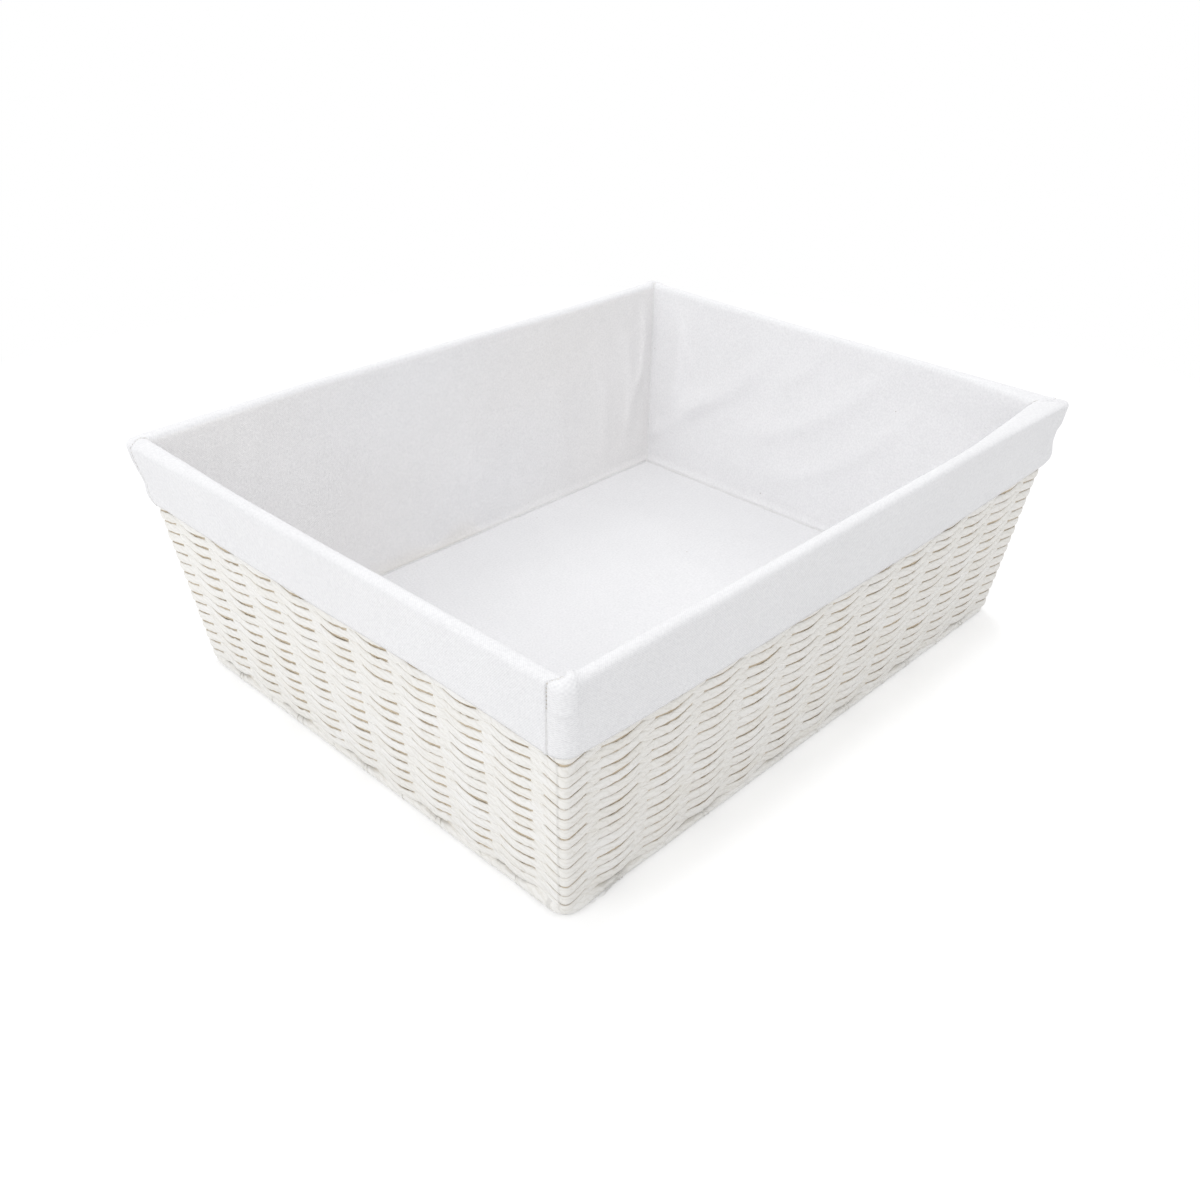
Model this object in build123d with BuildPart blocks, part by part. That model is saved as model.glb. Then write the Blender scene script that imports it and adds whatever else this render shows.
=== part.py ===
"""Open rectangular basket: paper rope woven on steel wires, with a loose cotton liner.

The walls flare from the foot to the rim. The liner covers the floor and the walls, and
is turned over the rim as a cuff. Origin: middle of the footprint, on the ground.
+X runs along the long sides, +Y points to the back, +Z is up. Millimetres.
"""
from build123d import *
import math
import os

os.makedirs("parts", exist_ok=True)

# ---- The woven basket, over the weave ----
rim_length = 457.4
rim_width = 357.4
foot_length = 419.0
foot_width = 323.0
basket_height = 153.7
corner_radius = 6.5             # of the wall's middle surface

# ---- Wires and rope ----
stake_diameter = 1.8            # upright wires that the rope is woven on
frame_wire_diameter = 2.4       # rings at the rim, the foot and the base
stakes_on_long_side = 11        # between two corner posts
stakes_on_short_side = 9
rope_thickness = 1.8            # paper rope, pressed flat
rope_height = 3.2
rope_clearance = 0.45           # rope to stake, enough for a stake that leans
row_clearance = 0.3             # between one row and the next
rows_per_rope = 2               # turns that one length of rope makes
wire_clearance = 0.3            # wire to what holds it

# ---- Wrapped edges ----
rim_wrap_height = 6.6
foot_wrap_height = 5.0
wrap_skin = 1.2                 # rope over the top of the rim, and under the foot
rim_round = 1.2                 # broken edge of the wrapped rim

# ---- Woven base, raised off the ground ----
base_level = 8.2                # middle of the base weave above the ground
base_gap = 0.5                  # base ring to the wall rows
base_ring_bend = 2.0
base_rope_width = 6.6
base_rope_gap = 0.3
base_rope_lengths = 4           # lengths of rope in the base

# ---- Cotton liner ----
cloth_thickness = 0.8
liner_gap = 0.5                 # cloth to weave
crown_round = 2.4               # where the cloth turns over the rim
cuff_depth = 41.0               # from the top of the lined rim to the hem
panel_gap = 0.2                 # between two panels that are sewn together
seam_diameter = 1.4

# ---- Worked out from the sizes above ----
wall_half = rope_thickness + stake_diameter / 2 + rope_clearance
stake_offset = wall_half - rope_thickness / 2      # middle of a rope where it passes a stake
slot_half = frame_wire_diameter / 2 + wire_clearance
row_space = basket_height - rim_wrap_height - foot_wrap_height
row_count = int(row_space / (rope_height + row_clearance))
row_pitch = row_space / row_count
cloth_near = wall_half + liner_gap                 # wall's middle to the cloth's near face
cloth_far = cloth_near + cloth_thickness
lined_top = basket_height + liner_gap + cloth_thickness
base_rope_offset = (stake_diameter + rope_thickness) / 2 + wire_clearance
floor_level = base_level + base_rope_offset + rope_thickness / 2 + liner_gap

corner_names = ("front_left", "front_right", "back_right", "back_left")
corner_signs = ((-1, -1), (1, -1), (1, 1), (-1, 1))
side_names = ("front", "right", "back", "left")    # side 0 runs from corner 0 to corner 1
side_turns = (-90.0, 0.0, 90.0, 180.0)             # outward direction of each side
bend_steps = (0.0, 22.5, 45.0, 67.5, 90.0)         # degrees round a corner's bend
middle_step = 45.0


def half_sizes(level):
    """Half length and half width of the wall's middle surface at one height."""
    share = level / basket_height
    length = foot_length + (rim_length - foot_length) * share
    width = foot_width + (rim_width - foot_width) * share
    return length / 2 - wall_half, width / 2 - wall_half


def outward(degrees):
    """Unit direction in the ground plane."""
    angle = math.radians(degrees)
    return Vector(math.cos(angle), math.sin(angle), 0)


def bend_point(corner, step, offset, level):
    """Point on a corner's bend, so many degrees round it and so far out of the middle."""
    half_x, half_y = half_sizes(level)
    sign_x, sign_y = corner_signs[corner]
    centre = Vector(sign_x * (half_x - corner_radius), sign_y * (half_y - corner_radius), level)
    return centre + outward(side_turns[corner] - 90 + step) * (corner_radius + offset)


def stake_points(side, level, offset=0.0):
    """Points where the stakes of one side stand, so far out of the wall's middle."""
    half_x, half_y = half_sizes(level)
    on_long_side = side in (0, 2)
    depth, reach = (half_y, half_x) if on_long_side else (half_x, half_y)
    stakes = stakes_on_long_side if on_long_side else stakes_on_short_side
    direction = outward(side_turns[side])
    along = outward(side_turns[side] + 90)
    shifts = [reach * (2 * number / (stakes + 1) - 1) for number in range(1, stakes + 1)]
    return [direction * (depth + offset) + along * shift + Vector(0, 0, level) for shift in shifts]


def wall_outline(offset, level):
    """Plain outline round the wall at one height."""
    return [bend_point(corner, step, offset, level) for corner in range(4) for step in bend_steps]


def woven_outline(first_side, shift, level):
    """Outline of one face of a woven row, out and in of the stakes by turns."""
    points = []
    side = first_side
    for corner in range(4):
        offset = side * stake_offset + shift
        points += [bend_point(corner, step, offset, level) for step in bend_steps]
        stakes_on_side = len(stake_points(corner, level))
        for number in range(stakes_on_side):
            side = -side
            points.append(stake_points(corner, level, side * stake_offset + shift)[number])
        side = -side
    return points


def filled(points, level):
    """Face inside a closed outline, laid at one height."""
    with BuildSketch(Plane.XY.offset(level)) as sketch:
        with BuildLine():
            Polyline(*[(point.X, point.Y) for point in points], close=True)
        make_face()
    return sketch.sketch


def flat_face(*points):
    """Flat face between points in space."""
    return Face(Wire.make_polygon(points, close=True))


def leaning_band(section, route, closed=True):
    """Flat-faced solid whose section follows the leaning wall.

    The section is a closed list of (offset, level), and the route a list of
    (corner, degrees round its bend).
    """
    rings = [[bend_point(*place, *corner) for corner in section] for place in route]
    spans = list(zip(rings, rings[1:]))
    faces = []
    if closed:
        spans.append((rings[-1], rings[0]))
    else:
        faces += [flat_face(*rings[0]), flat_face(*rings[-1])]
    for near, far in spans:
        for low in range(len(section)):
            high = (low + 1) % len(section)
            faces.append(flat_face(near[low], far[low], far[high], near[high]))
    return Solid(Shell(faces))


def woven_row(low, first_side):
    """One turn of rope woven round the wall's stakes."""
    level = low + rope_height / 2
    half = rope_thickness / 2
    with BuildPart() as made:
        extrude(filled(woven_outline(first_side, half, level), low), amount=rope_height)
        hollow = filled(woven_outline(first_side, -half, level), low)
        extrude(hollow, amount=rope_height, mode=Mode.SUBTRACT)
    return made.part


def wire(start, end, diameter):
    """Straight round wire between two points."""
    run = end - start
    with BuildPart() as made:
        with BuildSketch(Plane(origin=start, z_dir=run)):
            Circle(diameter / 2)
        extrude(amount=run.length)
    return made.part


def wire_ring(level, inset, bend, diameter):
    """Round wire bent into a closed rectangle, so far inside the wall's middle."""
    half_x, half_y = half_sizes(level)
    corners = [(sx * (half_x - inset), sy * (half_y - inset)) for sx, sy in corner_signs]
    with BuildPart() as made:
        with BuildLine(Plane.XY.offset(level)) as path:
            FilletPolyline(*corners, close=True, radius=bend)
        with BuildSketch(Plane(origin=path.line @ 0, z_dir=path.line % 0)):
            Circle(diameter / 2)
        sweep(path=path.line)
    return made.part


def save(name, piece):
    """Label a finished piece and write it."""
    piece.label = name
    export_step(piece, f"parts/{name}.step")


all_round = [(corner, step) for corner in range(4) for step in bend_steps]

# ---- Wire frame: two rings, four corner posts and the stakes of each side ----
rim_wire_level = basket_height - wrap_skin - slot_half
foot_wire_level = wrap_skin + slot_half
stake_foot = foot_wire_level + slot_half
stake_top = rim_wire_level - slot_half

for name, level in (("rim_wire", rim_wire_level), ("foot_wire", foot_wire_level)):
    with BuildPart() as frame_ring:
        add(wire_ring(level, 0, corner_radius, frame_wire_diameter))
    save(name, frame_ring.part)

for corner, corner_name in enumerate(corner_names):
    post_ends = [bend_point(corner, middle_step, 0, level) for level in (stake_foot, stake_top)]
    with BuildPart() as corner_post:
        add(wire(*post_ends, stake_diameter))
    save(f"corner_post_{corner_name}", corner_post.part)

for side, side_name in enumerate(side_names):
    with BuildPart() as stakes:
        for foot, top in zip(stake_points(side, stake_foot), stake_points(side, stake_top)):
            add(wire(foot, top, stake_diameter))
    save(f"stakes_{side_name}", stakes.part)

# ---- Wrapped rim and foot: a skin of rope over each frame ring ----
rim_wrap_low = basket_height - rim_wrap_height
rim_section = [
    (-wall_half, rim_wrap_low),
    (-wall_half, basket_height - rim_round),
    (-wall_half + rim_round, basket_height),
    (wall_half - rim_round, basket_height),
    (wall_half, basket_height - rim_round),
    (wall_half, rim_wrap_low),
    (slot_half, rim_wrap_low),
    (slot_half, basket_height - wrap_skin),
    (-slot_half, basket_height - wrap_skin),
    (-slot_half, rim_wrap_low),
]
with BuildPart() as rim_wrap:
    add(leaning_band(rim_section, all_round))
save("rim_wrap", rim_wrap.part)

foot_section = [
    (-wall_half, foot_wrap_height),
    (-wall_half, 0),
    (wall_half, 0),
    (wall_half, foot_wrap_height),
    (slot_half, foot_wrap_height),
    (slot_half, wrap_skin),
    (-slot_half, wrap_skin),
    (-slot_half, foot_wrap_height),
]
with BuildPart() as foot_wrap:
    add(leaning_band(foot_section, all_round))
save("foot_wrap", foot_wrap.part)

# ---- Woven walls: each length of rope makes a few turns ----
for first_row in range(0, row_count, rows_per_rope):
    with BuildPart() as wall_rope:
        for row in range(first_row, min(first_row + rows_per_rope, row_count)):
            row_low = foot_wrap_height + row * row_pitch + (row_pitch - rope_height) / 2
            add(woven_row(row_low, 1 - 2 * (row % 2)))
    save(f"wall_rope_{first_row // rows_per_rope + 1:02d}", wall_rope.part)

# ---- Woven base: a ring inside the walls, wires across it and rope along it ----
base_ring_inset = wall_half + base_gap + frame_wire_diameter / 2
base_inset = base_ring_inset + frame_wire_diameter / 2 + wire_clearance
base_half_x, base_half_y = [half - base_inset for half in half_sizes(base_level)]
base_stake_places = [point.X for point in stake_points(0, base_level)]

with BuildPart() as base_ring:
    add(wire_ring(base_level, base_ring_inset, base_ring_bend, frame_wire_diameter))
save("base_ring", base_ring.part)

with BuildPart() as base_stakes:
    for place in base_stake_places:
        near_end = Vector(place, -base_half_y, base_level)
        add(wire(near_end, Vector(place, base_half_y, base_level), stake_diameter))
save("base_stakes", base_stakes.part)


def base_row(front_edge, first_side):
    """One run of flat rope over and under the base's wires, from ring to ring."""
    middle = [(-base_half_x, base_level)]
    side = first_side
    for place in base_stake_places:
        middle.append((place, base_level + side * base_rope_offset))
        side = -side
    middle.append((base_half_x, base_level))
    half = rope_thickness / 2
    upper = [(x, z + half) for x, z in middle]
    lower = [(x, z - half) for x, z in reversed(middle)]
    with BuildPart() as made:
        with BuildSketch(Plane.XZ.offset(-front_edge)):
            with BuildLine():
                Polyline(*upper, *lower, close=True)
            make_face()
        extrude(amount=-base_rope_width)
    return made.part


base_row_count = int(2 * base_half_y / (base_rope_width + base_rope_gap))
base_row_pitch = 2 * base_half_y / base_row_count
base_rows_per_rope = math.ceil(base_row_count / base_rope_lengths)
for first_row in range(0, base_row_count, base_rows_per_rope):
    with BuildPart() as base_rope:
        for row in range(first_row, min(first_row + base_rows_per_rope, base_row_count)):
            row_front = -base_half_y + row * base_row_pitch
            row_front += (base_row_pitch - base_rope_width) / 2
            add(base_row(row_front, 1 - 2 * (row % 2)))
    save(f"base_rope_{first_row // base_rows_per_rope + 1}", base_rope.part)

# ---- Cotton liner: floor, four walls turned over the rim, four cuffs and the seams ----
fold_slack = cloth_thickness * (math.sqrt(2) - 1)  # keeps the turned cloth one thickness
fold_inner = crown_round - cloth_thickness * (2 - math.sqrt(2))
fold_end = lined_top - crown_round - fold_slack
wall_section = [
    (-cloth_near, floor_level),
    (-cloth_far, floor_level),
    (-cloth_far, lined_top - crown_round),
    (-cloth_far + crown_round, lined_top),
    (cloth_far - crown_round, lined_top),
    (cloth_far, lined_top - crown_round),
    (cloth_far, fold_end),
    (cloth_near, fold_end),
    (cloth_near - fold_inner, lined_top - cloth_thickness),
    (-cloth_near + fold_inner, lined_top - cloth_thickness),
    (-cloth_near, fold_end),
]
cuff_low = lined_top - cuff_depth
cuff_high = fold_end - panel_gap
cuff_section = [
    (cloth_near, cuff_low),
    (cloth_far, cuff_low),
    (cloth_far, cuff_high),
    (cloth_near, cuff_high),
]
seam_step = math.degrees(panel_gap / 2 / corner_radius)
for side, side_name in enumerate(side_names):
    next_corner = (side + 1) % 4
    side_route = [(side, middle_step + seam_step)]
    side_route += [(side, step) for step in bend_steps if step > middle_step]
    side_route += [(next_corner, step) for step in bend_steps if step < middle_step]
    side_route.append((next_corner, middle_step - seam_step))
    with BuildPart() as liner_wall:
        add(leaning_band(wall_section, side_route, closed=False))
    save(f"liner_wall_{side_name}", liner_wall.part)
    with BuildPart() as liner_cuff:
        add(leaning_band(cuff_section, side_route, closed=False))
    save(f"liner_cuff_{side_name}", liner_cuff.part)

floor_inset = cloth_far + panel_gap
with BuildPart() as liner_floor:
    extrude(filled(wall_outline(-floor_inset, floor_level), floor_level), amount=cloth_thickness)
save("liner_floor", liner_floor.part)

floor_seam_level = floor_level + cloth_thickness + panel_gap + seam_diameter / 2
seam_inset = floor_inset + seam_diameter / 2
with BuildPart() as floor_seam:
    add(wire_ring(floor_seam_level, seam_inset, 1.5 * seam_diameter, seam_diameter))
save("floor_seam", floor_seam.part)

seam_low = floor_seam_level + seam_diameter / 2 + panel_gap
seam_high = lined_top - crown_round
for corner, corner_name in enumerate(corner_names):
    seam_ends = [
        bend_point(corner, middle_step, -seam_inset, level) for level in (seam_low, seam_high)
    ]
    with BuildPart() as corner_seam:
        add(wire(*seam_ends, seam_diameter))
    save(f"corner_seam_{corner_name}", corner_seam.part)
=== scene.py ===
"""Looks of the woven basket and its cotton liner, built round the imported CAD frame.

Metres. Places come from the CAD nodes' boxes. The rope comes first, then the cloth,
then the camera, the lights and the floor.
"""
import math

import bpy
import numpy as np
from mathutils import Matrix, Vector


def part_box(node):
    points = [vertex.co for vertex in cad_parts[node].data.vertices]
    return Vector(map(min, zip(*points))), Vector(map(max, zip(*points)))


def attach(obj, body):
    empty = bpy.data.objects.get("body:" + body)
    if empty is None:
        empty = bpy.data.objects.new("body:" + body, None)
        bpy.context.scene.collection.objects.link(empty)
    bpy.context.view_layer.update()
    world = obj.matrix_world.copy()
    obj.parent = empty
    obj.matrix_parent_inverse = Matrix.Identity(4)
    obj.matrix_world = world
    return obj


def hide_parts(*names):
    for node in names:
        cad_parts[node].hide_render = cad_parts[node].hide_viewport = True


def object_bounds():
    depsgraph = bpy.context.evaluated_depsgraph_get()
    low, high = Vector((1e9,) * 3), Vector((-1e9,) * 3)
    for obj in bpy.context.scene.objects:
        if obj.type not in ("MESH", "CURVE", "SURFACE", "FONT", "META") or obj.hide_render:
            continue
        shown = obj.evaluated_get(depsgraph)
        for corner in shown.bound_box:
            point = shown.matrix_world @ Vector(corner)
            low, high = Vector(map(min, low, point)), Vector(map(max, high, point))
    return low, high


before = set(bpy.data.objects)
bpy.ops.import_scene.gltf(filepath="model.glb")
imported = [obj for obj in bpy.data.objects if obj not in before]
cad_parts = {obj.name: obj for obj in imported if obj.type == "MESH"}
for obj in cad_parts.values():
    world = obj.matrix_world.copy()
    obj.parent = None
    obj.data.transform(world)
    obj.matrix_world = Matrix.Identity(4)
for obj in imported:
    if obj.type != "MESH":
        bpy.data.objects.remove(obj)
cad_low, cad_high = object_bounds()
MM = 0.001
TAU = 2 * math.pi

SIDES = ("front", "right", "back", "left")
CORNERS = ("front_left", "front_right", "back_right", "back_left")
CORNER_SIGNS = np.array([(-1, -1), (1, -1), (1, 1), (-1, 1)], float)
STAKES_PER_SIDE = (11, 9, 11, 9)
STAKE_COUNT = sum(STAKES_PER_SIDE) + len(CORNERS)
POST_NUMBERS = [sum(STAKES_PER_SIDE[:side]) + side for side in range(4)]  # the corner posts
ROPE_NODES = sorted(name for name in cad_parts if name.startswith("wall_rope_"))
BASE_NODES = sorted(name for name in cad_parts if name.startswith("base_rope_"))
UP = np.array([0.0, 0.0, 1.0])

# ---- sizes from the CAD
foot_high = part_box("foot_wrap")[1]
rim_low, rim_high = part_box("rim_wrap")
right_low, right_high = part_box("stakes_right")
back_low, back_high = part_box("stakes_back")
across_low, across_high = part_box("base_stakes")
floor_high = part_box("liner_floor")[1]
floor_seam_low, floor_seam_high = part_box("floor_seam")
STAKE_RADIUS = (across_high.z - across_low.z) / 2
FOOT_BEND = 6.5 * MM        # bend of the foot at the corners, to the wall's middle
WALL_BEND = 4.0 * MM        # the rim and the cloth pull tighter round the posts
LINED_TOP = cad_high.z
CUFF_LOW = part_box("liner_cuff_front")[0].z


def half_sizes(level):
    """Half length and half width of the wall's middle surface at each height."""
    share = (level - right_low.z) / (right_high.z - right_low.z)
    near_x, far_x = right_low.x + STAKE_RADIUS, right_high.x - STAKE_RADIUS
    near_y, far_y = back_low.y + STAKE_RADIUS, back_high.y - STAKE_RADIUS
    return near_x + (far_x - near_x) * share, near_y + (far_y - near_y) * share


def wall_place(around, level, offset, bend=WALL_BEND):
    """Point and outward direction on the wall. Around runs from 0 to 8: each corner's
    bend takes one unit, and the straight side after it the next."""
    around, level, offset = np.broadcast_arrays(around, level, offset)
    around = np.mod(around, 8.0)
    part = np.floor(around).astype(int)
    share = around - part
    corner = part // 2
    half_x, half_y = half_sizes(level)
    on_side = part % 2 == 1
    angle = np.pi + (corner + np.where(on_side, 1.0, share)) * np.pi / 2
    normal_x, normal_y = np.cos(angle), np.sin(angle)
    along = np.where(on_side, share, 0.0)[..., None]
    sign = CORNER_SIGNS[corner] * (1 - along) + CORNER_SIGNS[(corner + 1) % 4] * along
    reach = bend + offset
    x = sign[..., 0] * (half_x - bend) + normal_x * reach
    y = sign[..., 1] * (half_y - bend) + normal_y * reach
    return np.stack([x, y, level], -1), np.stack([normal_x, normal_y, 0 * normal_x], -1)


def course(level, bend=WALL_BEND):
    """Lengths of the eight parts of the wall's course at one height, and the distance
    of each stake from the start of the first bend."""
    half_x, half_y = half_sizes(level)
    arc = bend * np.pi / 2
    parts, stakes, start = [], [], 0.0
    for side, count in enumerate(STAKES_PER_SIDE):
        half = half_x if side % 2 == 0 else half_y
        stakes.append(start + arc / 2)
        for number in range(1, count + 1):
            stakes.append(start + arc - bend + half * 2 * number / (count + 1))
        parts += [arc, 2 * (half - bend)]
        start += arc + 2 * (half - bend)
    return np.array(parts), np.array(stakes)


def to_around(distance, parts):
    """Distance round the course as the 0 to 8 measure of wall_place."""
    ends = np.concatenate([[0], np.cumsum(parts)])
    return np.interp(np.mod(distance, ends[-1]), ends, np.arange(9.0))


def to_stake(distance, parts, stakes):
    """Distance round the course as a stake number with a fraction."""
    total = parts.sum()
    places = np.concatenate([[stakes[-1] - total], stakes, [stakes[0] + total]])
    return np.interp(np.mod(distance, total), places, np.arange(-1, len(stakes) + 1))


def course_samples(parts, step, bend_samples=8):
    """Distances round the course, closer together in the bends."""
    ends = np.concatenate([[0], np.cumsum(parts)])
    pieces = []
    for part, length in enumerate(parts):
        count = bend_samples if part % 2 == 0 else int(length / step)
        pieces.append(np.linspace(ends[part], ends[part + 1], count, endpoint=False))
    return np.concatenate(pieces)


# ---- chance
NOISE_WAVES = 8
NOISE_PACE = 1.6
NOISE_SPAN = 3.2            # the waves' sum stays mostly within this


def soft_noise(seed, *coords):
    """Smooth noise, mostly from -1 to 1, made of a few waves in random directions."""
    rng = np.random.default_rng(seed)
    total = 0.0
    for _ in range(NOISE_WAVES):
        wave = rng.normal(size=len(coords))
        phase = rng.uniform(0, TAU)
        total = total + np.sin(sum(w * c for w, c in zip(wave, coords)) * NOISE_PACE + phase)
    return total / NOISE_SPAN


def ease(low, high, value):
    """0 below low, 1 above high, smooth between."""
    share = np.clip((value - low) / (high - low), 0, 1)
    return share * share * (3 - 2 * share)


def bump_at(value, middle, width):
    """Soft bump, 1 at its middle."""
    return np.exp(-(((value - middle) / width) ** 2))


def squared(wave, power):
    """Sine or cosine that draws a rounded square instead of a circle."""
    return np.sign(wave) * np.abs(wave) ** power


def run_along(path):
    """Distance along a path at each of its points."""
    return np.concatenate([[0], np.cumsum(np.linalg.norm(np.diff(path, axis=0), axis=1))])


# ---- meshes
INNER_FACE_SHADE_TAN = 0.42           # how much tan a rope's inner face shows, painted as the shade there


def link(obj):
    """Puts an object into the scene."""
    bpy.context.scene.collection.objects.link(obj)
    return obj


def new_object(name, points, faces, material):
    """Smooth mesh object from points and faces."""
    mesh = bpy.data.meshes.new(name)
    mesh.from_pydata(np.asarray(points).tolist(), [], [list(map(int, face)) for face in faces])
    mesh.materials.append(material)
    mesh.polygons.foreach_set("use_smooth", np.ones(len(mesh.polygons), bool))
    mesh.update()
    return link(bpy.data.objects.new(name, mesh))


def grid_faces(rows, columns, close_rows=False, close_columns=False, first=0):
    """Quads between the points of a grid."""
    r = np.arange(rows if close_rows else rows - 1)[:, None]
    c = np.arange(columns if close_columns else columns - 1)[None, :]
    next_r, next_c = (r + 1) % rows, (c + 1) % columns
    corners = (
        r * columns + c, r * columns + next_c,
        next_r * columns + next_c, next_r * columns + c,
    )
    return np.stack([corner + 0 * (r + c) for corner in corners], -1).reshape(-1, 4) + first


def mark_points(obj, name, values):
    """Gives each point a number or a vector that the materials read by name."""
    kind, field = ("FLOAT_VECTOR", "vector") if values.ndim > 1 else ("FLOAT", "value")
    layer = obj.data.attributes.new(name, kind, "POINT")
    layer.data.foreach_set(field, values.astype(np.float32).ravel())


class Strands:
    """Collects strands of rope or thread and makes one mesh of them."""

    def __init__(self, sides=12, squareness=0.85):
        self.sides, self.squareness = sides, squareness
        self.points, self.faces, self.marks, self.recess, self.count = [], [], [], [], 0

    def add(self, middle, outward, up, thick, tall, number=0.0, closed=False, recess=0.0,
            turned=INNER_FACE_SHADE_TAN, sides=None):
        """One strand along middle. Outward and up are unit directions, thick and tall the half sizes
        along them, each for the whole strand or for every point. After closed comes how much tan shows
        all round, and turned says how much on the inner face; this tan is painted shade."""
        length, sides = len(middle), sides or self.sides
        outward, up = np.broadcast_to(outward, middle.shape), np.broadcast_to(up, middle.shape)
        angle = np.arange(sides) * TAU / sides + np.pi
        cos, sin = np.cos(angle), np.sin(angle)
        across = np.broadcast_to(thick, length)[:, None] * squared(cos, self.squareness)
        rise = np.broadcast_to(tall, length)[:, None] * squared(sin, self.squareness)
        ring = middle[:, None, :] + outward[:, None, :] * across[..., None]
        ring = ring + up[:, None, :] * rise[..., None]
        along = run_along(middle)[:, None]
        marks = np.stack(np.broadcast_arrays(along, (angle / TAU)[None, :], number), -1)
        # painted shade: tan on the face that turns in towards the wall
        turned = turned * ease(0.3, -0.5, cos)[None, :]
        hidden = np.broadcast_to(recess, length)[:, None]
        self.recess.append((1 - (1 - turned) * (1 - hidden)).ravel())
        self.points.append(ring.reshape(-1, 3))
        self.marks.append(marks.reshape(-1, 3))
        self.faces.extend(grid_faces(length, sides, closed, True, self.count).tolist())
        if not closed:
            first = list(range(self.count, self.count + sides))
            last = [point + (length - 1) * sides for point in first]
            self.faces += [first, last[::-1]]
        self.count += length * sides

    def make(self, name, material):
        """The mesh object, with the marks that the rope's material reads."""
        obj = new_object(name, np.concatenate(self.points), self.faces, material)
        mark_points(obj, "strand", np.concatenate(self.marks))
        mark_points(obj, "recess", np.concatenate(self.recess))
        return obj

    def thread(self, middle, radius, number=0.0, closed=False):
        """One round strand along any path."""
        ahead = np.roll(middle, -1, 0) - np.roll(middle, 1, 0)
        if not closed:
            ahead[0], ahead[-1] = middle[1] - middle[0], middle[-1] - middle[-2]
        ahead /= np.linalg.norm(ahead, axis=1, keepdims=True)
        least = np.eye(3)[np.argmin(np.abs(ahead).max(0))]
        outward = np.cross(ahead, least)
        outward /= np.linalg.norm(outward, axis=1, keepdims=True)
        up = np.cross(outward, ahead)
        self.add(middle, outward, up, radius, radius, number, closed, turned=0.0)


def dress(obj, body, slot, *nodes):
    """Puts a piece on its body, in place of its CAD nodes. The slot is not used."""
    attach(obj, body)
    if nodes:
        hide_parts(*nodes)


# ---- materials
def empty_tree(owner):
    """A material's or the world's own nodes, all cleared."""
    owner.use_nodes = True
    owner.node_tree.nodes.clear()
    return owner.node_tree


def add_node(tree, kind, inputs=(), **settings):
    """Node with its settings and inputs; an input is a value or another node's output."""
    node = tree.nodes.new("ShaderNode" + kind)
    for key, value in settings.items():
        setattr(node, key, value)
    for key, value in dict(inputs).items():
        if isinstance(value, bpy.types.NodeSocket):
            tree.links.new(value, node.inputs[key])
        else:
            node.inputs[key].default_value = value
    return node


def node_material(name, inputs):
    """Material with one shader, which has these inputs."""
    material = bpy.data.materials.new(name)
    tree = empty_tree(material)
    shader = add_node(tree, "BsdfPrincipled", inputs)
    add_node(tree, "OutputMaterial", {0: shader.outputs[0]})
    return material, tree, shader


def ramp(tree, factor, *stops):
    """Colour ramp between (place, colour) stops."""
    node = add_node(tree, "ValToRGB", {0: factor})
    elements = node.color_ramp.elements
    elements[0].position, elements[0].color = stops[0][0], (*stops[0][1], 1)
    elements[1].position, elements[1].color = stops[-1][0], (*stops[-1][1], 1)
    for place, colour in stops[1:-1]:
        elements.new(place).color = (*colour, 1)
    return node.outputs[0]


def calc(tree, operation, *values):
    """Output of a math node."""
    return add_node(tree, "Math", dict(enumerate(values)), operation=operation).outputs[0]


def noise(tree, vector, scale, detail=3.0):
    """Value of a noise texture."""
    inputs = {"Vector": vector, "Scale": scale, "Detail": detail}
    return add_node(tree, "TexNoise", inputs).outputs[0]


def blend_colours(tree, factor, first, second, mode="MIX"):
    """Output of a colour mix."""
    inputs = {0: factor, 6: first, 7: second}
    return add_node(tree, "Mix", inputs, data_type="RGBA", blend_type=mode).outputs[2]


def shade_colour(tree, colour, shade):
    """Output of one colour multiplied by another."""
    return blend_colours(tree, 1.0, colour, shade, "MULTIPLY")


def set_bump(tree, shader, height, strength, depth):
    """Small relief on a shader, from a height."""
    bump = add_node(tree, "Bump", {"Strength": strength, "Distance": depth, "Height": height})
    tree.links.new(bump.outputs[0], shader.inputs["Normal"])


WHITE = (1.0, 1.0, 1.0)
CREASE_TURNS = 95.0         # of the paper's creases round the rope, in a metre
CREASES_ROUND = 5.0         # creases side by side
CREASE_WANDER = 2.2         # how far they stray, in creases
FIBRES_ALONG = 260.0        # streaks in a metre of rope
TONES_ALONG = 17.0          # changes of tone in a metre of rope
THREAD_PERIOD = 1.25 * MM   # two threads of the cotton, over and under


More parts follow.
